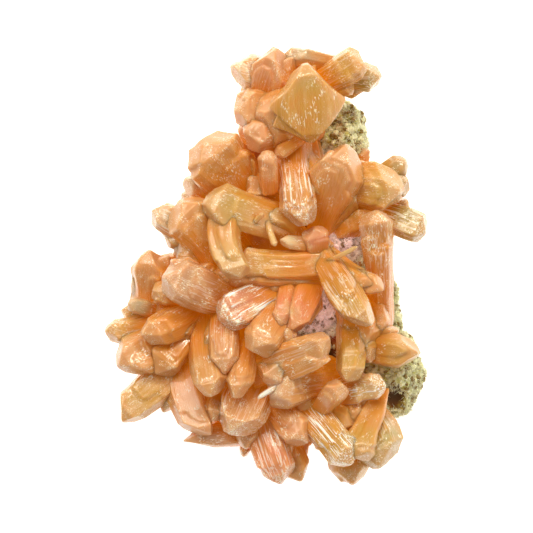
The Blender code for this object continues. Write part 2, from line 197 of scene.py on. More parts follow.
# The colour of each tone, as it looks in daylight
TONES = {
    "peach": (220, 154, 92),
    "orange": (216, 144, 60),
    "honey": (206, 156, 68),
    "gold": (208, 160, 80),
    "olive": (178, 154, 80),
    "moss": (156, 132, 64),
    "pink": (220, 156, 106),
    "rose": (206, 150, 106),
    "coral": (226, 148, 110),
    "pale": (226, 188, 130),
    "pale_gold": (216, 170, 98),
    "grey": (188, 168, 130),
    "pearl": (230, 198, 160),
    "white": (250, 244, 236),
    # deep and ember, mostly on low crystals in the gaps, are partly own tone, partly painted shade and glow
    "deep": (206, 128, 28),
    "ember": (180, 64, 6),
}

# The clusters of grown-together crystals, from the ones that stand in front to those behind
CLUSTERS = {
    "stilbite_arch": (
        Blade((-9.5, 16, 28), (-6.5, -2.8, 38), 7.5, 5.5, 8, 0.85, 0.2, 0, -2.2, tone="pale_gold"),
        Blade((7, 9, 23), (-15, 17, 35), 10.5, 5.5, 10, 0.6, 0.3, -0.2, tone="gold"),
        Blade((9, 5, 20), (0.5, 13.5, 30), 8, 4.5, -40, 0.7, tone="honey"),
        Blade((8, 3, 17), (-6, 9, 21), 10, 5, 0, 0.8, tone="ember"),
        Blade((-5, 9, 28), (-0.8, 13.2, 34.5), 1.4, 1.2, 0, 1, 0.4, tone="pale"),
        Blade((-0.6, 13.6, 28.5), (2.2, 5, 33.5), 1.6, 1.4, 0, 1, 0.4, tone="pale"),
    ),
    "stilbite_centre_arms": (
        Blade((13, 3.5, 25), (24.6, -15, 38), 8.6, 6.6, 8, 0.62, 0.5, -0.3, tone="honey", gleam=0.5),
        Blade((15, 0.5, 26), (-7, 1.2, 31.5), 7.6, 5, 2, 0.8, 0.2, 0, 1, tone="honey"),
        Blade((14, -3, 24), (-10.5, -2.6, 31), 5.4, 4.6, 15, 0.85, 0.4),
        Blade((13, 1, 25), (12, 9.6, 31), 6.6, 4.2, 15, 0.5, 0.2, tone="coral"),
        Blade((12, 5.6, 27), (3.2, 6.6, 32), 3.6, 2.4, 20, 0.8, 0.5, tone="pearl"),
        Blade((15, 2, 24), (29, -6, 33), 4.8, 3.4, 10, 0.7, 0.5),
        Blade((12.6, 0, 28), (22.6, 5, 35.5), 1.2, 1.1, 0, 1, 0.8, tone="pale"),
    ),
    "stilbite_hanging_blade": (
        Blade((6.5, 31, 21), (8.6, 10, 35), 9.2, 6, 14, 0.75, 0.45, -0.2, gleam=0.9),
        Blade((10.5, 32, 18), (13, 20, 28), 5.5, 4.5, -10, 0.8, tone="pink"),
    ),
    "stilbite_crown": (
        Blade((10.6, 31, 31.5), (9, 50.2, 36.5), 16.6, 7.5, 5, 1, 0.38, 0.06, tone="gold", gleam=0.25, plain=True),
        Blade((12, 37, 18), (-1.6, 38, 32), 15, 8, -6, 0.7, 0.3),
        Blade((9, 34, 20), (-5.2, 32.4, 31), 8.4, 5.5, 10, 0.8, 0.25, 0.2, tone="pink"),
        Blade((10, 33, 25), (2.4, 27.6, 30), 3.4, 3.0, 0, 0.9, 0.3, tone="orange"),
        Blade((6, 38.5, 19), (-7.6, 39.6, 29), 10.2, 6, 4, 0.8, 0.22, -0.2, gleam=0.25),
        Blade((-1, 41, 20), (3.4, 53.8, 30), 10, 6.5, -15, 0.85, 0.5, -0.2, tone="pink", gleam=0.3),
        Blade((4, 46.8, 18), (-8.8, 50, 26), 8.6, 5, 10, 0.8, 0.42, 0, tone="pearl", gleam=0.5),
        Blade((12, 44.8, 20), (23.6, 51.6, 32), 7.8, 4, -12, 0.9, 0.16, 0.4, tone="honey", gleam=0.4),
        Blade((19, 50.2, 20), (4.2, 52.8, 26), 4.8, 4, 20, 0.85, 0.3, tone="grey"),
        Blade((14, 47.2, 19), (28.5, 47.4, 25), 7, 5.5, 12, 0.85, 0.32, tone="olive", gleam=0.5),
    ),
    "stilbite_upper_right_fan": (
        Blade((12.6, 7.5, 20), (20.4, 29.6, 34), 13.4, 7.5, -8, 0.45, 0.45, -0.1, gleam=0.25),
        Blade((17, 20, 22), (33.6, 19, 30), 13, 7, 18, 0.8, 0.35, tone="gold", gleam=0.25),
        Blade((15, 8, 18), (27, 14, 26), 8, 6, 0, tone="orange"),
        Blade((22, 17.4, 17), (34.7, 26.6, 24), 6, 4.5, 0, 0.7, 0.2, tone="moss"),
        Blade((22, 16, 17), (35.2, 21.4, 25), 6.2, 5, 0, 0.6, 0.25, tone="moss"),
        Blade((22, 15.8, 18), (40, 8.9, 25), 7.4, 5.5, -15, 0.85, 0.2, 0.2, tone="olive", gleam=0.7),
        Blade((12, 12, 17), (28, 19, 21), 13, 8, 0, 0.8, 0.2, tone="deep"),
    ),
    "stilbite_right_blade": (
        Blade((28.6, -15, 18), (26.8, 13.8, 33), 8.4, 6.5, 10, 0.5, 0.3, 0.1, tone="orange", gleam=0.5),
    ),
    "stilbite_left_log": (
        Blade((-7, -9.4, 23), (-25.2, -1.6, 36), 10.4, 7.5, 10, 0.72, 0.3, -0.2, tone="rose", gleam=0.4),
        Blade((-5, -3, 22), (-13, -1.6, 31), 6, 5, 15, tone="orange"),
    ),
    "stilbite_left_shield": (
        Blade((-7, -2, 21), (-22, 15.6, 32), 12, 7, 8, 0.65, 0.25, 0.1, tone="orange"),
        Blade((-13, 5.4, 22), (-28.6, 14, 27), 7.4, 5, 15, 0.75, 0.25, tone="pearl", gleam=0.8),
        Blade((-12, -0.6, 21), (-23.2, 5.4, 25), 4.2, 4, 20, tone="pearl", gleam=0.8),
    ),
    "stilbite_upper_left_fan": (
        Blade((-5.4, 16, 20), (-15.2, 31.2, 33), 14.4, 8, 5, 0.55, 0.18, -0.1, tone="orange"),
        Blade((-8, 17, 18), (-17.2, 24.4, 29), 7, 5.5, 18, 0.7, 0.3, tone="pearl", gleam=0.4),
        Blade((-11, 15, 17), (-20, 21.8, 25), 6.8, 4.5, 15, tone="pearl", gleam=0.4),
        Blade((-14, 15, 16), (-21.2, 18, 21), 4.8, 4.2, 0, tone="grey"),
        Blade((2, 14, 18), (-4, 22, 28), 10, 7, 0, tone="deep"),
        Blade((0.6, 19, 27), (0.2, 28.6, 34), 4.7, 4, 0, 0.9, 0.3, tone="pink"),
    ),
    "stilbite_coral_sheaf": (
        Blade((4, -9, 25), (-2.6, -21.2, 38), 9.4, 6.5, 0, 0.75, 0.3, 0.2),
        Blade((4, -5, 24), (-11.6, -13.2, 34), 8.8, 5.5, 12, 0.75, 0.2, tone="coral", gleam=1),
        Blade((11, -4, 24), (5.8, -16, 34), 7.6, 5.5, -12, 0.75, 0.5, tone="coral"),
        Blade((5, -4, 24), (3.4, -14.6, 35), 5, 5, 10, 0.8, 0.45, tone="coral"),
    ),
    "stilbite_centre_blade": (
        Blade((-3, -26.4, 26), (16, -19, 39), 9.2, 6, 10, 0.75, 0.4, -0.3, gleam=0.4),
        Blade((-1, -22, 24), (3.4, -28.4, 35), 7.6, 5.5, 0, 0.85, 0.3, tone="pink"),
    ),
    "stilbite_lower_left_fan": (
        Blade((-10.6, -10.6, 24), (-10.6, -26.4, 35), 7, 5.5, 8, 0.85, 0.4, tone="pink", gleam=0.4),
        Blade((-4.4, -17, 25), (-8, -32.2, 37), 6.4, 5, 10, 0.8, 0.55),
        Blade((-15.4, -12.6, 22), (-13, -31.8, 36), 8.4, 5.5, 8, 0.7, 0.4, 0.2, -0.8, gleam=0.3),
        Blade((-2, -26.6, 21), (-8.4, -41.6, 33), 12, 7, 8, 0.7, 0.36, 0.1, tone="pink", gleam=0.5),
        Blade((-21, -22.6, 20), (-16, -42.4, 28), 9.4, 5.5, 0, 0.8, 0.34, -0.4, -1.2, tone="pink"),
        Blade((-11, -28, 21), (-13.4, -38.6, 29), 5, 4.5, 0, tone="orange"),
        Blade((-3, -34, 19), (-5.2, -45.4, 26), 6.8, 5, 8, 0.9),
        Blade((-2, -42.3, 18), (-20.8, -42.8, 24), 5.6, 3.8, 0, 0.8, 1, -0.3, tone="rose"),
        Blade((-4.6, -42, 19), (-5.8, -47.8, 22), 2.8, 2.4, 0, 1, 0.5, tone="pink"),
        Blade((-16, -19, 22), (-3, -31, 25), 14, 8, 0, 0.8, 0.2, tone="deep"),
    ),
    "stilbite_left_rosette": (
        Blade((-17, -10.6, 21), (-30.4, -17.6, 32), 8, 6, 12, 0.75, 0.35, 0.2, tone="orange"),
        Blade((-18, -9, 20), (-28.2, -5.8, 28), 6.8, 5, 8, 0.7, 0.3, tone="pale_gold"),
        Blade((-29.2, -10, 17), (-27.9, 3.7, 25), 9.8, 6, -8, 0.75, 0.4, -0.3),
        Blade((-25, -11.6, 19), (-34.6, -9.2, 26), 3.8, 3.4, 0, 0.9, 0.2, tone="grey"),
        Blade((-25, -13.6, 18), (-40.2, -17, 25), 6.8, 4.5, 8, 0.85, 0.36, 0.2, tone="gold", gleam=0.4),
        Blade((-20, -15.6, 18), (-37.4, -24, 28), 10.4, 6, 8, 0.6, 0.3, -0.2, gleam=0.3),
        Blade((-16, -13, 19), (-27.6, -26.4, 28), 9, 6, 8, 0.75, 0.3, tone="deep"),
        Blade((-15.4, -17.4, 19), (-37.2, -37.6, 25), 9.2, 6, 8, 0.9, 0.36, -0.35, tone="gold", gleam=0.3),
    ),
    "stilbite_right_pair": (
        Blade((21.6, -13, 22), (20.6, -28.6, 34), 7.4, 6, 10, 0.85, 0.35, 0.2, tone="honey"),
        Blade((21.4, -8, 20), (24.6, -20.4, 29), 10, 6, 0, 0.8, 0.3, tone="orange"),
        Blade((21, -19.6, 20), (38.2, -21.6, 28), 8, 5.5, 8, 0.75, 0.45, tone="gold"),
        Blade((27, -6, 18), (28, -17, 26), 6, 5, 0, tone="deep"),
    ),
    "stilbite_lower_boss": (
        Blade((16, -28, 20), (1.6, -30.2, 34), 10.5, 7, 0, 0.9, 0.25, -0.3, gleam=0.4),
        Blade((5.5, -28.6, 31), (-2.2, -32.6, 36.5), 1.3, 1.2, 0, 1, 0.6, tone="white", gleam=1),
    ),
    "stilbite_lower_right_fan": (
        Blade((12.4, -37.4, 25), (18.4, -29.2, 35), 5.6, 4.5, -15, 0.75, 0.3),
        Blade((8, -33.4, 22), (21.2, -48.8, 34), 9, 6, 8, 0.8, 0.3, tone="honey", gleam=1),
        Blade((29.4, -31, 21), (22, -47.8, 33), 8.6, 4.8, 12, 0.3, 0.25, tone="gold"),
        Blade((14, -32, 20), (29.4, -29.6, 31), 7.4, 5.5, 10, 0.55, 0.3, tone="pale", gleam=1),
        Blade((22.4, -35.4, 19), (30.4, -48.6, 29), 12.4, 7, -5, 0.8, 0.22, 0.4, tone="olive", gleam=0.4),
        Blade((19.4, -36, 17), (21.4, -54.4, 25), 9.6, 6, 8, 0.8, 0.28, tone="gold"),
        Blade((17, -31, 18), (23, -40, 26), 10, 7, 0, tone="deep"),
    ),
    "stilbite_bottom_pair": (
        Blade((0, -32.4, 20), (9.8, -43.4, 30), 8, 6, 8, 0.8, 0.3, tone="pink"),
        Blade((-2, -35, 21), (4.4, -54, 25), 8.2, 6, 12, 0.8, 0.3, 0.2, tone="coral", gleam=0.7),
        Blade((1.4, -38, 18), (8.6, -53.8, 21), 8.4, 4.5, 0, 0.8, 0.3, tone="honey", gleam=0.3),
    ),
}

# Low crystals that close the gaps between a cluster's own
LOW_CRYSTALS = {
    "stilbite_crown": (
        Blade((4, 33.4, 14), (-6.8, 34.2, 22), 8, 5.5, 10, 0.8, 0.3, tone="orange"),
        Blade((8, 40, 14), (-4, 44.4, 23), 8, 5.5, 10, 0.8, 0.3),
        Blade((10, 42, 16), (9, 51.6, 24), 9, 5.5, 0, 0.8, 0.3, tone="honey"),
    ),
    "stilbite_lower_left_fan": (
        Blade((-6, -30, 13), (-12.6, -40.4, 19), 8, 5.5, 0, 0.8, 0.3, tone="rose"),
        Blade((-16, -22, 14), (-19.6, -31, 21), 8, 5.5, 0, 0.8, 0.3, tone="deep"),
    ),
    "stilbite_left_rosette": (
        Blade((-18, -16, 13), (-29.6, -22.4, 22), 8, 5.5, 0, 0.8, 0.3, tone="deep"),
        Blade((-16, -8, 13), (-29.6, -11.6, 22), 8, 5.5, 0, 0.8, 0.3, tone="orange"),
    ),
    "stilbite_arch": (
        Blade((-4, 8, 14), (-13.4, 7.4, 24), 9, 6, 0, 0.9, 0.3, tone="deep"),
    ),
    "stilbite_bottom_pair": (
        Blade((3, -34, 14), (10.8, -43.2, 21), 8, 5.5, 0, 0.8, 0.3, tone="orange"),
    ),
}

# The middle crystals of the low sheaves that stand out of the matrix's sides, under the clusters
RIM_CRYSTALS = (
    Blade((-14, 8, 10), (-27, 9.5, 13), 6.5, 4.5),
    Blade((-18, -4, 9), (-31.5, -3.4, 12), 7, 5),
    Blade((-20, -16, 8), (-35, -19.4, 12.5), 7, 5),
    Blade((-16, -27, 9), (-26, -30.6, 12), 6, 4.5),
    Blade((-5, 25, 10), (-15.6, 28.6, 14), 7, 5),
    Blade((1, 38, 9), (0, 50.5, 13), 6.5, 4.5),
    Blade((12, 38, 8), (15, 50, 12), 7.5, 5),
    Blade((-6, -34, 8), (-11, -43, 11.5), 6.5, 4.5),
    Blade((4, -36, 9), (4.5, -50, 12.5), 7.5, 5),
    Blade((18, -36, 8), (20, -50, 12.5), 7.5, 5),
    Blade((20, 5, 9), (33, 9.5, 13), 7, 5),
    Blade((16, 20, 9), (32.4, 22.6, 13), 7, 5),
)

# The material slots of the crystals, and how rough each is
SLOTS = {"peach_stilbite": 0.28, "honey_stilbite": 0.30, "coral_stilbite": 0.26}
HONEY_CLUSTERS = {"stilbite_arch", "stilbite_lower_right_fan", "stilbite_right_pair", "stilbite_right_blade"}
CORAL_CLUSTERS = {"stilbite_coral_sheaf", "stilbite_left_log"}

# The gaps between the crystals where pale pink needles line the rock: a place and its radius
PINK_PLACES = (
    ((18.5, 7), 5.5),
    ((12.5, -11.5), 6),
    ((15, 26), 3),
)
# Where the crust shows between the crystals, and the height under which it always does, fading in on the way
CRUST_PLACES = (
    ((20, 36), 9),
    ((33, -14), 9),
    ((33, -28), 9),
    ((18.5, 7), 5.5),
    ((12.5, -11.5), 5),
    ((14.5, -22.5), 3),
)
CRUST_TOP = 13
CRUST_FADE = 3
# The hollows of the rock, sunk and also painted darker as shade, and how much deeper they are
HOLLOW_PLACES = (
    ((32, -33), 2.6),
    ((14.5, -22.5), 3),
    ((-15.5, -13.5), 2.2),
    ((-19, -22.8), 2),
    ((10, -11.5), 1.6),
)
HOLLOW_DEPTH = 2
# Where such a place ends, in radii: it counts fully up to one radius before that
PLACE_END = 1.6
# Where the rock lies further in than the CAD part's, how far, and towards where
RECESS_PLACES = (((-10, 36), 4.5),)
RECESS_DEPTH = 3.4
RECESS_AIM = (8, 36)
# The lumps of the crust: the size and the height of each pattern, and the height that stays on the CAD surface
CRUST_LUMPS = ((4.2, 2.0), (1.7, 1.7))
LUMP_LEVEL = 1.1
# The grains: their radius, how far it changes in each direction, how uneven and leaned they are, the size of
# their light and dark patches, and their darkest and lightest tints, on the crust and in the pink linings
SCATTER_SEED = 23
SCATTER_FOOT = 1.5
PINK_CROWDING = 3
LEAN_SPREAD = 0.6
GRAINS = 8000
GRAIN_SIZE = (0.3, 0.8)
GRAIN_STRETCH = (0.55, 1.3)
GRAIN_UNEVEN = 0.25
GRAIN_LEAN = 40
GRAIN_PATCH = 1.8
GRAIN_TINTS = ((140, 110, 38), (255, 252, 206))
PINK_GRAIN_TINTS = ((118, 82, 60), (250, 216, 208))
NEEDLES = 28000
NEEDLE_LENGTH = (0.7, 1.9)
NEEDLE_WIDTH = (0.07, 0.13)
NEEDLE_LEAN = 38
NEEDLE_ROOT = 0.1
NEEDLE_TINTS = ((222, 216, 150), (255, 255, 232))
PINK_NEEDLE_TINTS = ((214, 168, 158), (255, 240, 238))


def linear(colour):
    """A colour as it looks, from 0 to 255, as the light that a shader counts in."""
    shares = [value / 255 for value in colour]
    return tuple(x / 12.92 if x <= 0.04045 else ((x + 0.055) / 1.055) ** 2.4 for x in shares)


def only(obj):
    """Selects that object and nothing else."""
    bpy.ops.object.select_all(action="DESELECT")
    obj.select_set(True)
    bpy.context.view_layer.objects.active = obj
    return obj


def applied(obj, kind, **settings):
    """Gives the object a modifier with those settings and applies it."""
    modifier = obj.modifiers.new(kind.lower(), kind)
    for name, value in settings.items():
        setattr(modifier, name, value)
    only(obj)
    bpy.ops.object.modifier_apply(modifier=modifier.name)


def own_copy(obj):
    """A copy of the object with a mesh of its own."""
    copy = obj.copy()
    copy.data = obj.data.copy()
    bpy.context.scene.collection.objects.link(copy)
    return copy


def joined(name, objects):
    """The objects joined in one, under that name."""
    only(objects[0])
    for obj in objects:
        obj.select_set(True)
    if len(objects) > 1:
        bpy.ops.object.join()
    made = bpy.context.object
    made.name = made.data.name = name
    return made


def scale_where(obj, chosen, sizes):
    """In edit mode, scales the vertices that the test picks, from the origin."""
    shape = bmesh.from_edit_mesh(obj.data)
    for vertex in shape.verts:
        vertex.select_set(chosen(vertex.co))
    shape.select_flush_mode()
    bmesh.update_edit_mesh(obj.data)
    bpy.ops.transform.resize(value=sizes, center_override=(0, 0, 0))


def root_share(shape):
    """How wide a crystal's root is, as a share of its width: wider than the CAD part's, unless it tapers much."""
    return min(WIDEST_ROOT, shape.waist + ROOT_SPREAD) if shape.waist >= LEAST_WAIST else shape.waist


def inside_outline(shape, length, bevel, places):
    """How far each point lies in from the crystal's outline on its broad face: 0 there and 1 past its edge."""
    share = root_share(shape)
    half = shape.width / 2 * (share + (1 - share) * places[:, 2] / length)
    inside = half - abs(places[:, 0])
    for place, normal in end_planes(shape, length, bevel)[::2]:
        normal = np.array(normal) / np.linalg.norm(normal)
        inside = np.minimum(inside, (place - places) @ normal)
    return np.clip(inside / min(EDGE_WIDTH, shape.width * EDGE_SHARE), 0, 1)


def end_planes(shape, length, bevel):
    """The planes of a crystal's pointed end: two across its width, and two small ones across its thickness."""
    half, flat = shape.width / 2, shape.thickness / 2
    drop = shape.point * shape.width * SHARPER
    apex, blunt = -shape.lean * half, BLUNT_TIP * half
    planes = []
    for side in (-1, 1):
        run = half - side * apex - blunt
        planes.append(((apex + side * blunt, 0, length), (side * drop, 0, run)))
        planes.append(((0, side * bevel[side > 0] * flat, length), (0, side, 1)))
    return planes


def straight_crystal(shape, length, bevel, broad):
    """One flat crystal with a pointed end, standing on the origin with its broad face towards +Y."""
    bpy.ops.mesh.primitive_cylinder_add(
        vertices=6, radius=1, depth=length, location=(0, 0, length / 2), rotation=(0, 0, math.pi / 2)
    )
    crystal = only(bpy.context.object)
    bpy.ops.object.transform_apply(location=True, rotation=True, scale=True)
    bpy.ops.object.mode_set(mode="EDIT")
    scale_where(crystal, lambda place: abs(place.y) > 0.1, (broad / HEXAGON_BROAD_FACE, 1, 1))
    waist = root_share(shape)
    scale_where(crystal, lambda place: place.z < length / 2, (waist, waist, 1))
    sizes = (shape.width / 2, shape.thickness / 2 / HEXAGON_FLAT, 1)
    scale_where(crystal, lambda place: True, sizes)
    planes = end_planes(shape, length, bevel)
    if shape.plain:
        planes += [((x, y, length - z), (nx, ny, -nz)) for (x, y, z), (nx, ny, nz) in planes]
    for place, normal in planes:
        bpy.ops.mesh.select_all(action="SELECT")
        bpy.ops.mesh.bisect(
            plane_co=place, plane_no=Vector(normal).normalized(), use_fill=True, clear_outer=True, threshold=1e-5
        )
    bpy.ops.object.mode_set(mode="OBJECT")
    return crystal


def slat_matrix(shape, length, side, chance):
    """The place and size of a narrower crystal that lies on the crystal's upper (1) or lower (-1) face."""
    half, flat = shape.width / 2, shape.thickness / 2
    share, depth = chance.uniform(*SLAT_SHARE), chance.uniform(*SLAT_DEPTH)
    across = chance.uniform(-1, 1) * (1 - share) * half
    proud = chance.uniform(*SLAT_PROUD) * min(1, shape.thickness / FULL_THICKNESS)
    fan = math.atan(across * SLAT_FAN / length) + math.radians(chance.uniform(-SLAT_TURN, SLAT_TURN))
    tilt = math.radians(chance.uniform(*SLAT_TILT_SHARE) * SLAT_TILT) * -side
    lifted = side * (flat * (1 - depth) + proud)
    return (
        Matrix.Translation((across * SLAT_ROOT, lifted, 0))
        @ Euler((tilt, fan, 0)).to_matrix().to_4x4()
        @ Matrix.Rotation(math.pi * chance.choice((0, 1)), 4, "Z")
        @ Matrix.Diagonal((share, depth, chance.uniform(*SLAT_LENGTH), 1))
    )


def leaf_matrix(shape, side):
    """The place and size of the thinner crystal that fans out of a wide one, to its left or right."""
    length, width, thickness = LEAF_SIZE
    return (
        Matrix.Translation((0, LEAF_LIFT * side * shape.thickness, 0))
        @ Matrix.Rotation(math.radians(side * LEAF_TURN), 4, "Y")
        @ Matrix.Rotation(math.pi, 4, "Z")
        @ Matrix.Diagonal((width, thickness, length, 1))
    )


def bent(shape, places, length, chance):
    """The places with the crystal's bow, a slight bend of its own both ways, and swells of its width."""
    along = places[:, 2] / length
    arch = np.sin(along * math.pi)
    wave = np.sin(along * math.tau * chance.uniform(*WIDTH_SWELLS) + chance.uniform(0, math.tau))
    swell = 1 + WIDTH_SWELL * wave
    across = places[:, 0] * swell + (shape.bow + length * chance.uniform(-OWN_BEND, OWN_BEND)) * arch
    over = places[:, 1] * swell + length * chance.uniform(-OWN_BEND, OWN_BEND) * arch
    return np.stack([across, over, places[:, 2]], axis=1)


def displaced(obj, pattern, guide, chance, sizes, height):
    """Moves the surface by a pattern that is stretched along the crystal, at a place of its own in the pattern."""
    across, along = sizes
    guide.scale = (across, across, along)
    guide.location = [chance.uniform(-PATTERN_REACH, PATTERN_REACH) for _ in range(3)]
    bpy.context.view_layer.update()
    applied(
        obj,
        "DISPLACE",
        texture=pattern,
        texture_coords="OBJECT",
        texture_coords_object=guide,
        strength=height,
        mid_level=0.5,
    )


def note(mesh, name, kind, values):
    """Keeps a value on each of the mesh's points, for its material."""
    field = {"FLOAT": "value", "FLOAT_VECTOR": "vector", "FLOAT_COLOR": "color"}[kind]
    mesh.attributes.new(name, kind, "POINT").data.foreach_set(field, np.ravel(values).astype(np.float32))


def places_of(mesh):
    """The places of the mesh's vertices, a row each."""
    places = np.zeros(len(mesh.vertices) * 3, np.float32)
    mesh.vertices.foreach_get("co", places)
    return places.reshape(-1, 3)


def set_places(mesh, places):
    """Moves the mesh's vertices to those places."""
    mesh.vertices.foreach_set("co", np.ravel(places).astype(np.float32))
    mesh.update()


def grown_crystal(shape, patterns, guide, chance, leaf_side=0):
    """A finished crystal in its place: grown together from straight ones, ribbed and bent, with what its material
    reads kept on its points."""
    shape = shape._replace(width=shape.width * WIDER)
    length = (Vector(shape.tip) - Vector(shape.root)).length
    bevel = [chance.uniform(*TIP_BEVEL) for _ in range(2)]
    core = straight_crystal(shape, length, bevel, chance.uniform(*BROAD_FACE))
    slats = [core]
    if shape.width >= SLAT_WIDTH and not shape.plain:
        for side in [1] * UPPER_SLATS + [-1] * LOWER_SLATS:
            slats.append(own_copy(core))
            slats[-1].data.transform(slat_matrix(shape, length, side, chance))
    if leaf_side and not shape.plain:
        slats.append(own_copy(core))
        slats[-1].data.transform(leaf_matrix(shape, leaf_side))
    crystal = joined("crystal", slats)
    cell = FINE_CELL if shape.width < FINE_WIDTH else CRYSTAL_CELL
    applied(crystal, "REMESH", mode="VOXEL", voxel_size=cell, use_smooth_shade=True)
    applied(crystal, "SMOOTH", factor=SOFTEN, iterations=1)
    slimness = min(1, shape.thickness / FULL_THICKNESS)
    ribs, swells = patterns
    displaced(crystal, swells, guide, chance, SWELLS[0], SWELLS[1] * slimness)
    displaced(crystal, ribs, guide, chance, RIBS[0], RIBS[1] * slimness * (LEAST_RIBS + shape.gleam))
    mesh = crystal.data
    places = places_of(mesh)
    own_start = [chance.uniform(-COLOUR_REACH, COLOUR_REACH), chance.uniform(-COLOUR_REACH, COLOUR_REACH), 0]
    note(mesh, "crystal", "FLOAT_VECTOR", places + own_start)
    note(mesh, "along", "FLOAT", np.maximum(places[:, 2] / length, PLAIN_ALONG if shape.plain else 0))
    note(mesh, "inside", "FLOAT", inside_outline(shape, length, bevel, places))
    note(mesh, "gleam", "FLOAT", np.full(len(places), shape.gleam))
    change = np.array([chance.uniform(*TINT_CHANGE) for _ in range(3)])
    tint = np.array(linear(TONES[shape.tone])) * change
    note(mesh, "tint", "FLOAT_COLOR", np.tile([*tint, 1], (len(places), 1)))
    set_places(mesh, bent(shape, places, length, chance))
    mesh.transform(Matrix.Scale(MM, 4) @ standing(shape))
    return crystal


def standing(shape):
    """The matrix that stands a crystal made along +Z on its root, with its broad face turned up and rolled."""
    root, tip = Vector(shape.root), Vector(shape.tip)
    axis = (tip - root).normalized()
    up = Vector((0, 0, 1))
    face = (up - axis * up.dot(axis)).normalized()
    face.rotate(Matrix.Rotation(math.radians(shape.roll), 3, axis))
    side = face.cross(axis)
    turned = Matrix((side, face, axis)).transposed().to_4x4()
    return Matrix.Translation(root) @ turned


def filler_of(shape, chance):
    """The shorter crystal that fills the gap on one side of a wide one."""
    root, tip = Vector(shape.root), Vector(shape.tip)
    face = standing(shape).to_3x3() @ Vector((0, 1, 0))
    turn = Matrix.Rotation(math.radians(chance.choice((-1, 1)) * chance.uniform(*FILLER_TURN)), 3, face)
    length, width, thickness = FILLER_SIZE
    reach_out = turn @ (tip - root) * length
    reach_out.z -= FILLER_DROP
    return shape._replace(
        tip=tuple(root + reach_out),
        width=width * shape.width,
        thickness=thickness * shape.thickness,
        tone=chance.choice(FILLER_TONES),
        gleam=FILLER_STRIAE_AND_PAINTED_GLEAM,
        bow=0,
    )


def rim_sheaf(shape, tone):
    """A low crystal with a smaller one fanned out on each side of it, one lifted and the other lowered."""
    root, tip = Vector(shape.root), Vector(shape.tip)
    shape = shape._replace(tone=tone)
    crystals = [shape]
    for side in (-1, 1):
        reach_out = Matrix.Rotation(math.radians(side * SIDE_TURN), 3, "Z") @ (tip - root) * SIDE_SIZE
        reach_out.z += side * SIDE_RISE
        size = {"width": shape.width * SIDE_SIZE, "thickness": shape.thickness * SIDE_SIZE}
        crystals.append(shape._replace(tip=tuple(root + reach_out), roll=side * SIDE_ROLL, **size))
    return crystals


def slot_of(cluster):
    """The material slot of a cluster's crystals."""
    if cluster in HONEY_CLUSTERS:
        return "honey_stilbite"
    return "coral_stilbite" if cluster in CORAL_CLUSTERS else "peach_stilbite"


def pattern(name, depth):
    """A cloud pattern that surfaces are moved by."""
    made = bpy.data.textures.new(name, "CLOUDS")
    made.noise_scale = 1
    made.noise_depth = depth
    return made


def blurred(grid, reach, axes=(0, 1)):
    """The grid with each value the mean of a block of cells around it."""
    for axis in axes:
        margins = [(reach + 1, reach) if a == axis else (0, 0) for a in range(grid.ndim)]
        sums = np.cumsum(np.pad(grid, margins, "edge"), axis)
        size = grid.shape[axis]
        high = np.take(sums, np.arange(2 * reach + 1, 2 * reach + 1 + size), axis)
        low = np.take(sums, np.arange(size), axis)
        grid = (high - low) / (2 * reach + 1)
    return grid


def note_crevices(pieces):
    """Keeps on each point how deep it lies under the crystals around it, from 0 to 1."""
    low, high = (np.array(corner) / MM for corner in cad_box)
    cells = np.ceil((high - low + 4 * CREVICE_REACH)[:2] / HEIGHT_CELL).astype(int)
    heights = np.zeros(cells)
    places = [places_of(piece.data) / MM for piece in pieces]
    spots = [((place[:, :2] - low[:2] + 2 * CREVICE_REACH) / HEIGHT_CELL).astype(int) for place in places]
    for place, spot in zip(places, spots):
        np.maximum.at(heights, tuple(spot.T), place[:, 2])
    around = blurred(blurred(heights, round(CREVICE_REACH / HEIGHT_CELL)), 2)
    for piece, place, spot in zip(pieces, places, spots):
        depth = around[tuple(spot.T)] - place[:, 2]
        lifted = np.clip(place[:, 2] / CREVICE_LEVEL, 0, 1) ** 2
        share = np.clip((depth - CREVICE_DEPTHS[0]) / np.ptp(CREVICE_DEPTHS), 0, 1) * lifted
        note(piece.data, "crevice", "FLOAT", share)


def share_tints(pieces):
    """Lets the tint of each crystal run a little into the crystals around it."""
    low, high = (np.array(corner) / MM for corner in cad_box)
    margin = 4 * TINT_CELL
    cells = np.ceil((high - low + 2 * margin) / TINT_CELL).astype(int)
    sums = np.zeros((cells.prod(), 4))
    kept = []
    for piece in pieces:
        mesh = piece.data
        tints = np.zeros(len(mesh.vertices) * 4, np.float32)
        mesh.attributes["tint"].data.foreach_get("color", tints)
        tints = tints.reshape(-1, 4)
        spots = ((places_of(mesh) / MM - low + margin) / TINT_CELL).astype(int)
        spots = np.ravel_multi_index(tuple(spots.T), cells)
        for channel in range(4):
            sums[:, channel] += np.bincount(spots, tints[:, channel], len(sums))
        kept.append((mesh, spots, tints))
    around = blurred(blurred(sums.reshape(*cells, 4), 1, (0, 1, 2)), 1, (0, 1, 2)).reshape(-1, 4)
    for mesh, spots, tints in kept:
        shared = around[spots] / around[spots, 3:]
        mesh.attributes["tint"].data.foreach_set(
            "color", np.ravel(tints + (shared - tints) * TINT_SHARE).astype(np.float32)
        )


def leaf_side(shape, chance):
    """The side that a wide crystal's leaf fans out to, -1 or 1, and 0 for a crystal that has none."""
    return chance.choice((-1, 1)) if shape.width >= LEAF_WIDTH else 0


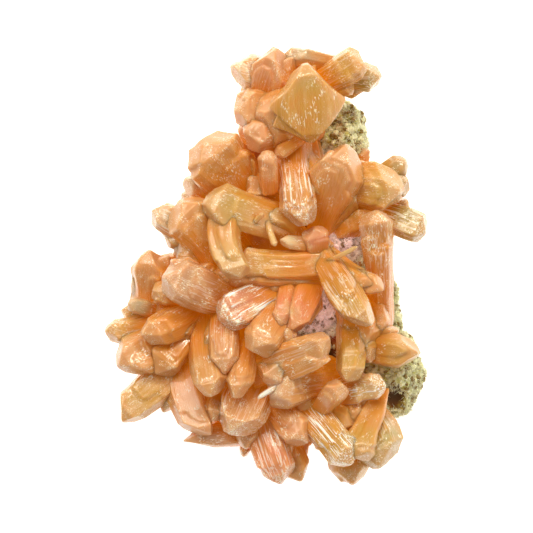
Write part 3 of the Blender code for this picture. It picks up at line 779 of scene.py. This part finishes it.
def make_crystals(finishes):
    """Every cluster and low sheaf, as one piece each in place of its CAD node."""
    patterns = pattern("ribs", 1), pattern("swells", 0)
    bpy.ops.object.empty_add()
    guide = bpy.context.object
    chance = random.Random(SLAT_SEED)
    leaf_chance, filler_chance = random.Random(LEAF_SEED), random.Random(FILLER_SEED)
    sheaves = {}
    for name, blades in CLUSTERS.items():
        wide = [shape for shape in blades if shape.width >= FILLER_WIDTH and name not in OPEN_CLUSTERS]
        fillers = [filler_of(shape, filler_chance) for shape in wide]
        sheaves[name] = [(shape, leaf_side(shape, leaf_chance)) for shape in blades]
        sheaves[name] += [(shape, 0) for shape in fillers + list(LOW_CRYSTALS.get(name, ()))]
    for number, shape in enumerate(RIM_CRYSTALS, 1):
        fan = rim_sheaf(shape, LOW_SHEAF_TONES[number % len(LOW_SHEAF_TONES)])
        sheaves[f"rim_sheaf_{number}"] = [(shape, 0) for shape in fan]
    pieces = []
    for name, blades in sheaves.items():
        crystals = [grown_crystal(shape, patterns, guide, chance, leaf) for shape, leaf in blades]
        pieces.append(joined(name + "_crystals", crystals))
    note_crevices(pieces)
    share_tints(pieces)
    for name, piece in zip(sheaves, pieces):
        piece.data.materials.clear()
        piece.data.materials.append(finishes[slot_of(name)])
        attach(piece, ROOT)
        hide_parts(name)
        slot_of(name)
    bpy.data.objects.remove(guide)


def near_places(places, spots):
    """How far inside any of the spots each place is, from 0 to 1, seen from above."""
    inside = np.zeros(len(places))
    for centre, radius in spots:
        away = np.linalg.norm(places[:, :2] - centre, axis=1)
        inside = np.maximum(inside, np.clip(PLACE_END - away / radius, 0, 1))
    return inside


def bare_share(places):
    """How much of the crust shows at each place: all of it at the open places and low down, none elsewhere."""
    low = np.clip((CRUST_TOP - places[:, 2]) / CRUST_FADE, 0, 1)
    return np.maximum(near_places(places, CRUST_PLACES), low)


def recess_steps(places):
    """How far each place is moved in, in X and Y."""
    aim = np.array(RECESS_AIM) - places[:, :2]
    aim /= np.linalg.norm(aim, axis=1)[:, None]
    return aim * (near_places(places, RECESS_PLACES) * RECESS_DEPTH)[:, None]


def make_rock(finish):
    """The rock with its lumpy crust, from a merged copy of the CAD solid."""
    rock = own_copy(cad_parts["mordenite_matrix"])
    rock.parent = None
    for key in list(rock.keys()):
        del rock[key]
    rock.name = rock.data.name = "mordenite_rock"
    rock.hide_render = rock.hide_viewport = False
    only(rock)
    bpy.ops.object.mode_set(mode="EDIT")
    bpy.ops.mesh.select_all(action="SELECT")
    bpy.ops.mesh.remove_doubles(threshold=1e-6)
    bpy.ops.object.mode_set(mode="OBJECT")
    rock.data.transform(Matrix.Scale(1 / MM, 4))
    applied(rock, "REMESH", mode="VOXEL", voxel_size=ROCK_CELL, use_smooth_shade=True)
    applied(rock, "SMOOTH", factor=SOFTEN, iterations=3)
    mesh = rock.data
    places = places_of(mesh)
    normals = np.array([vertex.normal for vertex in mesh.vertices])
    lumps = np.array([
        sum(height * (0.5 - abs(noise.noise(Vector(place) / size))) for size, height in CRUST_LUMPS)
        for place in places
    ])
    dents = near_places(places, HOLLOW_PLACES)
    places = places + normals * (lumps - LUMP_LEVEL - HOLLOW_DEPTH * dents)[:, None]
    places[:, :2] += recess_steps(places)
    places[:, 2] = np.maximum(places[:, 2], 0)
    set_places(mesh, places)
    note(mesh, "height", "FLOAT", lumps / sum(height for _, height in CRUST_LUMPS) * 2 - dents)
    note(mesh, "pink", "FLOAT", near_places(places, PINK_PLACES) * (1 - dents))
    note(mesh, "bare", "FLOAT", bare_share(places))
    mesh.transform(Matrix.Scale(MM, 4))
    mesh.materials.clear()
    mesh.materials.append(finish)
    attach(rock, ROOT)
    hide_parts("mordenite_matrix")
    return rock


def surface_spots(rock, count, chance, keep):
    """Seeded random places on the rock where the test keeps them, in millimetres, and their normals."""
    mesh = rock.data
    mesh.calc_loop_triangles()
    corners = np.array([triangle.vertices for triangle in mesh.loop_triangles])
    places = places_of(mesh) / MM
    first, second, third = (places[corners[:, i]] for i in range(3))
    across = np.cross(second - first, third - first)
    areas = np.linalg.norm(across, axis=1)
    normals = across / areas[:, None].clip(1e-9)
    weights = areas * keep((first + second + third) / 3, normals)
    picked = chance.choice(len(corners), count, p=weights / weights.sum())
    u, v = chance.random((2, count))
    turned = u + v > 1
    u[turned], v[turned] = 1 - u[turned], 1 - v[turned]
    spots = first[picked] + u[:, None] * (second - first)[picked] + v[:, None] * (third - first)[picked]
    return spots, normals[picked]


def turned_to(normals, chance, lean):
    """Matrices that stand +Z along each normal, leaned by up to some degrees and turned at random."""
    count = len(normals)
    leaned = normals + np.tan(np.radians(lean)) * chance.normal(size=(count, 3)) * LEAN_SPREAD
    z = leaned / np.linalg.norm(leaned, axis=1)[:, None]
    helper = chance.normal(size=(count, 3))
    x = np.cross(helper, z)
    x /= np.linalg.norm(x, axis=1)[:, None]
    return np.stack([x, np.cross(z, x), z], axis=2)


def joined_copies(name, model, spots, turns, sizes, tints, glow):
    """One mesh of a copy of the model at each spot, each in its own tint and its own share of painted glow."""
    places = places_of(model.data)
    count, corners = len(spots), len(places)
    faces = np.array([face.vertices for face in model.data.polygons])
    made = np.einsum("nij,nkj->nki", turns, places[None] * sizes[:, None]) + spots[:, None]
    every_face = faces[None] + (np.arange(count) * corners)[:, None, None]
    mesh = bpy.data.meshes.new(name)
    mesh.from_pydata((made.reshape(-1, 3) * MM).tolist(), [], every_face.reshape(-1, faces.shape[1]).tolist())
    note(mesh, "tint", "FLOAT_COLOR", np.repeat(np.c_[tints, np.ones(count)], corners, axis=0))
    note(mesh, "glow", "FLOAT", np.repeat(glow, corners))
    piece = bpy.data.objects.new(name, mesh)
    bpy.context.scene.collection.objects.link(piece)
    return piece


def blended(first, second, share):
    """Two looked-at colours mixed by a share for each copy, as light."""
    share = np.clip(share, 0, 1)[:, None]
    return np.array(linear(first)) * (1 - share) + np.array(linear(second)) * share


def make_crust(rock, finish):
    """The grains of the crust and the needles that stand out of it."""
    chance = np.random.default_rng(SCATTER_SEED)

    def open_rock(middles, normals):
        """How crowded the grains and needles are on each face of the rock."""
        open_share = bare_share(middles) * (1 - near_places(middles, HOLLOW_PLACES))
        pink = near_places(middles, PINK_PLACES)
        upward = np.clip(normals[:, 2] + 1, 0.2, 1)
        return (middles[:, 2] > SCATTER_FOOT) * open_share * upward * (1 + PINK_CROWDING * pink)

    bpy.ops.mesh.primitive_ico_sphere_add(subdivisions=1, radius=1)
    grain = only(bpy.context.object)
    bpy.ops.object.mode_set(mode="EDIT")
    bpy.ops.mesh.select_all(action="SELECT")
    bpy.ops.transform.vertex_random(offset=GRAIN_UNEVEN, seed=SCATTER_SEED)
    bpy.ops.object.mode_set(mode="OBJECT")
    spots, normals = surface_spots(rock, GRAINS, chance, open_rock)
    size = chance.uniform(*GRAIN_SIZE, GRAINS)
    sizes = size[:, None] * chance.uniform(*GRAIN_STRETCH, (GRAINS, 3))
    pink = near_places(spots, PINK_PLACES)
    patches = np.array([noise.noise(Vector(spot) / GRAIN_PATCH) for spot in spots])
    tints = blended(*GRAIN_TINTS, chance.random(GRAINS) * 1.1 + 0.2 + patches * 2)
    pink_tints = blended(*PINK_GRAIN_TINTS, chance.random(GRAINS) * 1.3 + patches)
    tints = tints * (1 - pink[:, None]) + pink_tints * pink[:, None]
    turns = turned_to(normals, chance, GRAIN_LEAN)
    grains = joined_copies("mordenite_grains", grain, spots, turns, sizes, tints, pink)

    bpy.ops.mesh.primitive_cone_add(vertices=3, radius1=1, radius2=0, depth=1, location=(0, 0, 0.5 - NEEDLE_ROOT))
    needle = only(bpy.context.object)
    bpy.ops.object.transform_apply(location=True, rotation=True, scale=True)
    bpy.ops.object.mode_set(mode="EDIT")
    bpy.ops.mesh.select_all(action="SELECT")
    bpy.ops.mesh.quads_convert_to_tris()
    bpy.ops.object.mode_set(mode="OBJECT")
    spots, normals = surface_spots(rock, NEEDLES, chance, open_rock)
    widths = chance.uniform(*NEEDLE_WIDTH, NEEDLES)
    sizes = np.c_[widths, widths, chance.uniform(*NEEDLE_LENGTH, NEEDLES)]
    pink = near_places(spots, PINK_PLACES)
    tints = blended(*NEEDLE_TINTS, chance.random(NEEDLES))
    pink_tints = blended(*PINK_NEEDLE_TINTS, chance.random(NEEDLES))
    tints = tints * (1 - pink[:, None]) + pink_tints * pink[:, None]
    turns = turned_to(normals, chance, NEEDLE_LEAN)
    needles = joined_copies("mordenite_needles", needle, spots, turns, sizes, tints, pink)
    for piece in (grains, needles):
        places = places_of(piece.data)
        places[:, 2] = np.maximum(places[:, 2], 0)
        set_places(piece.data, places)
        piece.data.materials.append(finish)
        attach(piece, ROOT)
    bpy.data.objects.remove(grain)
    bpy.data.objects.remove(needle)


class Flow:
    """What a node of a material gives. Arithmetic on it adds Math nodes, and node() adds any other kind."""

    def __init__(self, tree, socket=None):
        self.tree, self.socket = tree, socket

    def node(self, kind, sockets=(), output=0, **settings):
        """Adds a node: first its settings, then the values or links of its sockets, by name or number."""
        made = self.tree.nodes.new("ShaderNode" + kind)
        for name, value in settings.items():
            if name == "stops":
                ramp = made.color_ramp.elements
                while len(ramp) < len(value):
                    ramp.new(0.5)
                for element, (position, colour) in zip(ramp, value):
                    element.position, element.color = position, (*colour, 1)
            else:
                setattr(made, name, value)
        self.feed(made, dict(sockets))
        return Flow(self.tree, made.outputs[output])

    def feed(self, node, sockets):
        """Sets a node's sockets to values or links them, by name or number."""
        for key, value in sockets.items():
            if isinstance(value, Flow):
                self.tree.links.new(value.socket, node.inputs[key])
            else:
                node.inputs[key].default_value = value

    def math(self, operation, first, second):
        """A Math node on two values."""
        return self.node("Math", {0: first, 1: second}, operation=operation)

    def __add__(self, other):
        return self.math("ADD", self, other)

    def __sub__(self, other):
        return self.math("SUBTRACT", self, other)

    def __rsub__(self, other):
        return self.math("SUBTRACT", other, self)

    def __mul__(self, other):
        return self.math("MULTIPLY", self, other)

    __radd__ = __add__
    __rmul__ = __mul__

    def between(self, low, high):
        """0 below low and 1 above high, with a soft step between them."""
        sockets = {"Value": self, "From Min": low, "From Max": high}
        return self.node("MapRange", sockets, interpolation_type="SMOOTHSTEP")

    def mixed(self, first, second, how="MIX"):
        """The first colour where this is 0 and the second where it is 1."""
        sockets = {0: self, 6: first, 7: second}
        return self.node("Mix", sockets, output=2, data_type="RGBA", blend_type=how)

    def stretched(self, sizes):
        """These coordinates, with a pattern of that size in each direction."""
        return self.node("VectorMath", {0: self, 1: [1 / size for size in sizes]}, operation="MULTIPLY")

    def noise(self, detail, rough=0.5):
        """A cloud pattern on these coordinates, around 0.5."""
        return self.node("TexNoise", {"Vector": self, "Scale": 1.0, "Detail": detail, "Roughness": rough})

    def kept(self, name, output="Fac"):
        """A value that note() keeps on the mesh's points."""
        return self.node("Attribute", output=output, attribute_name=name)


def new_material(name):
    """A material, the start of its nodes, and its shader."""
    material = bpy.data.materials.new(name)
    material.use_nodes = True
    tree = material.node_tree
    return material, Flow(tree), tree.nodes["Principled BSDF"]


def colour4(colour):
    """A colour as it looks, for a colour socket."""
    return (*linear(colour), 1)


def stilbite(name, roughness):
    """Waxy, striated crystal: its tone runs deeper to the root, partly as painted glow, and paler to the tip and
    the edges. Its gaps are painted a glowing orange, and its gleam is painted highlight: pearly streaks, dashes
    and glints along it. Sizes of patterns are in millimetres."""
    material, flow, shader = new_material(name)
    here, tint = flow.kept("crystal", "Vector"), flow.kept("tint", "Color")
    along, crevice, gleam = flow.kept("along"), flow.kept("crevice"), flow.kept("gleam")
    edge = 1 - flow.kept("inside").between(0.1, 0.9)
    hair = here.stretched((0.34, 0.34, 11)).noise(detail=3)
    band = here.stretched((2.0, 2.0, 16)).noise(detail=2)
    cloud = here.stretched((3.5, 3.5, 5)).noise(detail=3)
    speck = here.stretched((0.24, 0.24, 0.4)).noise(detail=1)
    root = 1 - along.between(0.1, 0.85)
    end = along.between(0.72, 1.0)
    # Deeper orange towards the root: partly the crystal's own tone, partly painted glow of light passed through it
    deeper = (root * 0.6 + band.between(0.5, 0.68) * 0.06).mixed(tint, colour4((242, 174, 74)), "MULTIPLY")
    colour = (root * 0.5).mixed(deeper, colour4((216, 128, 14)))
    colour = (cloud.between(0.5, 0.7) * 0.45).mixed(colour, colour4((228, 182, 130)))
    colour = (cloud.between(0.48, 0.3) * 0.35).mixed(colour, colour4((216, 138, 46)))
    colour = (edge * 0.3).mixed(colour, colour4((228, 162, 94)))
    colour = (end * 0.4).mixed(colour, colour4((216, 164, 122)))
    # Painted glow: the gaps between the crystals are painted saturated orange where shade would fall
    colour = (crevice * 0.95).mixed(colour, colour4((214, 128, 6)))
    colour = (hair.between(0.42, 0.25) * gleam * 0.16).mixed(colour, colour4((190, 116, 54)))
    # Painted highlight: pale pearly streaks along the striae, standing in for their glints
    painted_streaks = hair.between(0.53, 0.58) * band.between(0.38, 0.5) * along.between(0.2, 0.45)
    colour = (painted_streaks * (gleam - 0.22) * 1.3).mixed(colour, colour4((255, 246, 238)))
    dash = here.stretched((0.24, 0.24, 0.9)).noise(detail=1)
    patch = here.stretched((2.4, 2.4, 3.6)).noise(detail=1)
    # Painted highlight: short white dashes in patches, standing in for glints on the striae
    painted_dashes = dash.between(0.58, 0.62) * patch.between(0.54, 0.6) * along.between(0.3, 0.55)
    colour = (painted_dashes * (gleam * 0.8 + 0.5)).mixed(colour, colour4((255, 248, 228)))
    # Painted highlight: small pale specks, standing in for tiny glints, more towards the tip
    painted_glints = speck.between(0.62, 0.66) * (end * 0.5 + gleam * 0.5 + 0.3) * cloud.between(0.46, 0.56)
    colour = painted_glints.mixed(colour, colour4((255, 240, 214)))
    height = hair * (gleam * 0.6 + 0.05) + band * 0.25 + speck * 0.25 + dash * 0.25
    flow.feed(shader, {
        "Base Color": colour,
        "Roughness": (hair - 0.5) * 0.2 + roughness + end * 0.08,
        "Normal": flow.node("Bump", {"Strength": 0.6, "Distance": 0.4 * MM, "Height": height}),
        "Coat Weight": (1 - crevice) * 0.6,
        "Coat Roughness": 0.1,
        "IOR": 1.45,
        # Painted glow: emission in the gaps and towards the roots, standing in for light passed through the
        # crystals
        "Emission Color": (crevice * 0.7 + root * 0.3).mixed((0, 0, 0, 1), colour4((212, 132, 12))),
        "Emission Strength": PAINTED_CREVICE_GLOW,
        "Subsurface Weight": 0.75,
        "Subsurface Radius": (1.0, 0.8, 0.6),
        "Subsurface Scale": 2.4 * MM,
    })
    return material


def rock_finish():
    """Lime and cream crust over brown rock, pale pink linings in the gaps; low places darker, partly painted
    shade.
    """
    material, flow, shader = new_material("mordenite_rock")
    place = flow.node("TexCoord", output="Object")
    height, pink, bare = flow.kept("height"), flow.kept("pink"), flow.kept("bare")
    fine = place.stretched([0.8 * MM] * 3).noise(detail=4, rough=0.65)
    broad = place.stretched([7 * MM] * 3).noise(detail=2)
    # Low places and hollows darker, lumps paler: partly rock and crust colour, partly painted shade and light
    painted_shade_level = height * 0.55 + fine * 0.5 + broad * 0.25 - 0.22
    crust = flow.node(
        "ValToRGB",
        {"Fac": painted_shade_level},
        stops=(
            (0.2, linear((92, 62, 30))),
            (0.38, linear((170, 150, 62))),
            (0.52, linear((222, 214, 124))),
            (0.7, linear((246, 244, 190))),
        ),
    )
    lining = fine.between(0.3, 0.7).mixed(colour4((134, 84, 72)), colour4((244, 200, 200)))
    crust = bare.mixed(colour4((200, 112, 36)), crust)
    flow.feed(shader, {
        "Base Color": (pink * 0.85).mixed(crust, lining),
        "Roughness": 0.85,
        "Normal": flow.node("Bump", {"Strength": 0.8, "Distance": 0.5 * MM, "Height": fine}),
    })
    return material


def crust_finish():
    """The grains and needles, each in its own tint, with a silky shine and a painted glow on the pink ones."""
    material, flow, shader = new_material("mordenite_crust")
    place = flow.node("TexCoord", output="Object")
    fine = place.stretched([0.5 * MM] * 3).noise(detail=2)
    colour = (fine.between(0.6, 0.35) * 0.25).mixed(flow.kept("tint", "Color"), colour4((140, 120, 66)))
    flow.feed(shader, {
        "Base Color": colour,
        "Roughness": fine * 0.3 + 0.35,
        # Painted glow on the pink grains and needles in the shaded gaps; they are no lamp
        "Emission Color": flow.kept("glow").mixed((0, 0, 0, 1), colour),
        "Emission Strength": PAINTED_LINING_GLOW,
        "Subsurface Weight": 0.25,
        "Subsurface Radius": (1.0, 0.9, 0.6),
        "Subsurface Scale": 0.8 * MM,
    })
    return material


def make_floor():
    """A plain white floor, which is part of the stage."""
    bpy.ops.mesh.primitive_plane_add(size=FLOOR_SIZE)
    floor = bpy.context.object
    floor.name = "floor"
    material, flow, shader = new_material("floor_paper")
    place = flow.node("TexCoord", output="Object")
    grain = place.stretched([4 * MM] * 3).noise(detail=3)
    flow.feed(shader, {
        "Base Color": (grain * 0.3).mixed((0.93, 0.93, 0.93, 1), (0.9, 0.9, 0.9, 1)),
        "Roughness": 0.9,
        "Emission Color": (1, 1, 1, 1),
        "Emission Strength": FLOOR_GLOW,
    })
    floor.data.materials.append(material)


def soft_light(name, place, size, power):
    """A rectangular studio light that faces the specimen."""
    data = bpy.data.lights.new(name, "AREA")
    data.shape = "RECTANGLE"
    data.size, data.size_y = size
    data.energy = power
    data.color = WARM_WHITE
    light = bpy.data.objects.new(name, data)
    light.location = place
    light.rotation_euler = (-Vector(place)).to_track_quat("-Z", "Y").to_euler()
    bpy.context.scene.collection.objects.link(light)


def make_studio():
    """The sky, the lights and the camera, straight above the specimen."""
    scene = bpy.context.scene
    world = bpy.data.worlds.new("studio")
    world.use_nodes = True
    sky = world.node_tree.nodes["Background"]
    sky.inputs["Color"].default_value = SKY_COLOUR
    sky.inputs["Strength"].default_value = SKY_STRENGTH
    scene.world = world
    for name, place, size, power in LIGHTS:
        soft_light(name, place, size, power)
    camera = bpy.data.cameras.new("camera")
    camera.lens, camera.sensor_width = LENS, SENSOR
    camera.clip_end = FARTHEST
    eye = bpy.data.objects.new("camera", camera)
    eye.location = (0, 0, (SHARP_HEIGHT + PHOTO_WIDTH * LENS / SENSOR) * MM)
    scene.collection.objects.link(eye)
    scene.camera = eye
    scene.view_settings.view_transform = "Standard"


make_studio()
make_floor()
make_crystals({name: stilbite(name, roughness) for name, roughness in SLOTS.items()})
rock = make_rock(rock_finish())
make_crust(rock, crust_finish())
